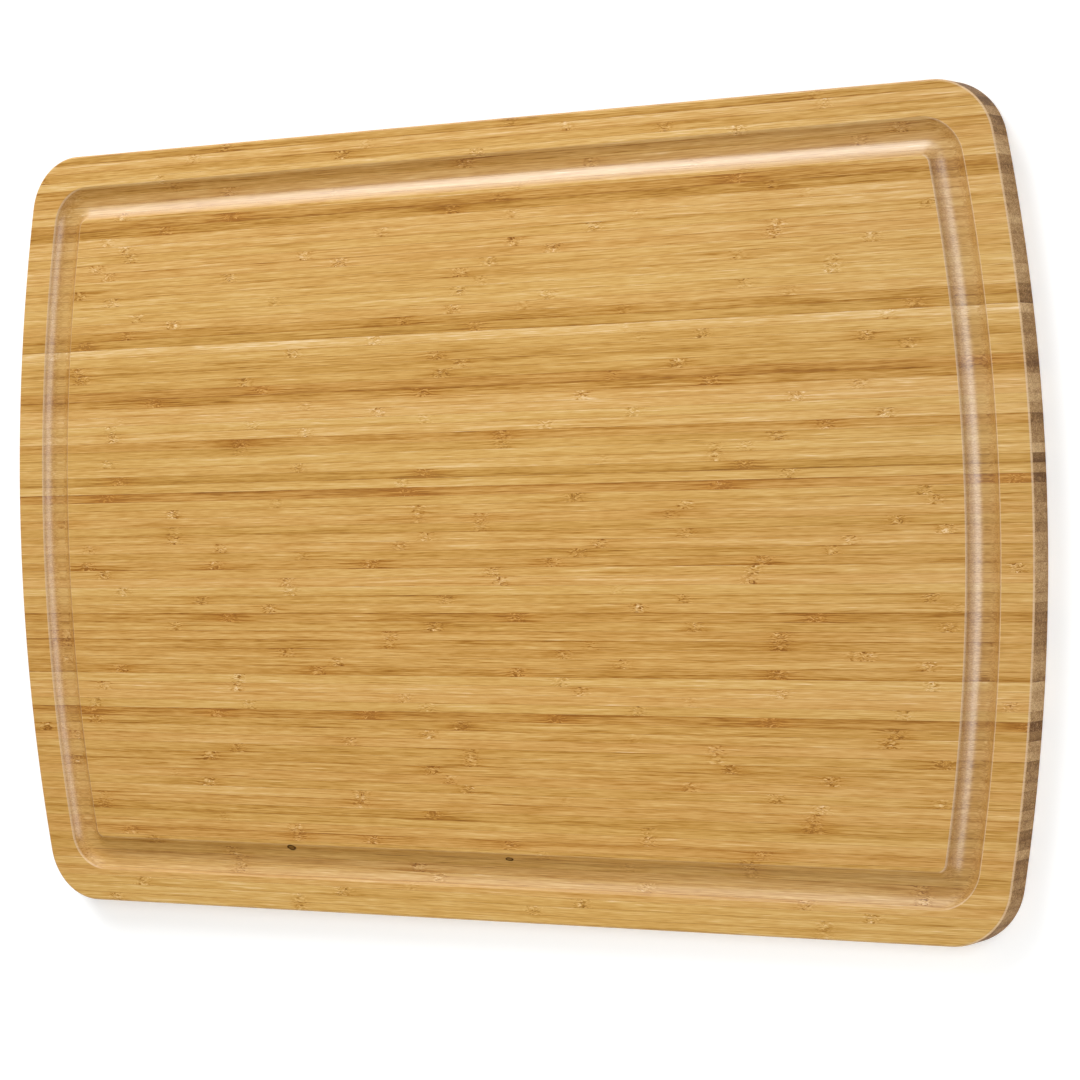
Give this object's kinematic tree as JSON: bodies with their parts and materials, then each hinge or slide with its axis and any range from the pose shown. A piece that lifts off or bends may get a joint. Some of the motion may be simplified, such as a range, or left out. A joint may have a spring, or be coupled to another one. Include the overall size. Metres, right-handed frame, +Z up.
{
  "type": "cutting board",
  "caption": "Large flat carving board of edge-glued vertical grain bamboo strips, bowed short ends, rounded corners and a juice groove all round the top.",
  "frame": {"origin": "centre of the flat underside", "axes": "+X along the strips towards one bowed end, +Y across the strips, +Z up out of the grooved face"},
  "size_m": [0.762, 0.508, 0.02],
  "materials": {
    "bamboo": "satin oiled bamboo, vertical grain",
    "glue": "cured amber adhesive"
  },
  "bodies": {
    "root": {"field_strip_pair_09": "bamboo", "field_strip_pair_10": "bamboo", "field_strip_pair_11": "bamboo", "field_strip_pair_12": "bamboo", "field_strip_pair_13": "bamboo", "field_strip_pair_14": "bamboo", "field_strip_pair_15": "bamboo", "field_strip_pair_16": "bamboo", "field_strip_pair_17": "bamboo", "field_strip_pair_18": "bamboo", "field_strip_pair_19": "bamboo", "field_strip_pair_20": "bamboo", "field_strip_pair_21": "bamboo", "field_strip_pair_22": "bamboo", "field_strip_pair_23": "bamboo", "field_strip_pair_24": "bamboo", "field_strip_pair_25": "bamboo", "field_strip_pair_26": "bamboo", "field_strip_pair_27": "bamboo", "field_strip_pair_28": "bamboo", "field_strip_pair_29": "bamboo", "field_strip_pair_30": "bamboo", "field_strip_pair_31": "bamboo", "field_strip_pair_32": "bamboo", "field_strip_pair_33": "bamboo", "field_strip_pair_34": "bamboo", "field_strip_pair_35": "bamboo", "field_strip_pair_36": "bamboo", "field_strip_pair_37": "bamboo", "field_strip_pair_38": "bamboo", "field_strip_pair_39": "bamboo", "field_strip_pair_40": "bamboo", "field_strip_pair_41": "bamboo", "field_strip_pair_42": "bamboo", "field_strip_pair_43": "bamboo", "field_strip_pair_44": "bamboo", "glue_lines": "glue", "groove_strip_pair_04": "bamboo", "groove_strip_pair_05": "bamboo", "groove_strip_pair_06": "bamboo", "groove_strip_pair_07": "bamboo", "groove_strip_pair_08": "bamboo", "rim_strip_pair_01": "bamboo", "rim_strip_pair_02": "bamboo", "rim_strip_pair_03": "bamboo"}
  },
  "joints": []
}
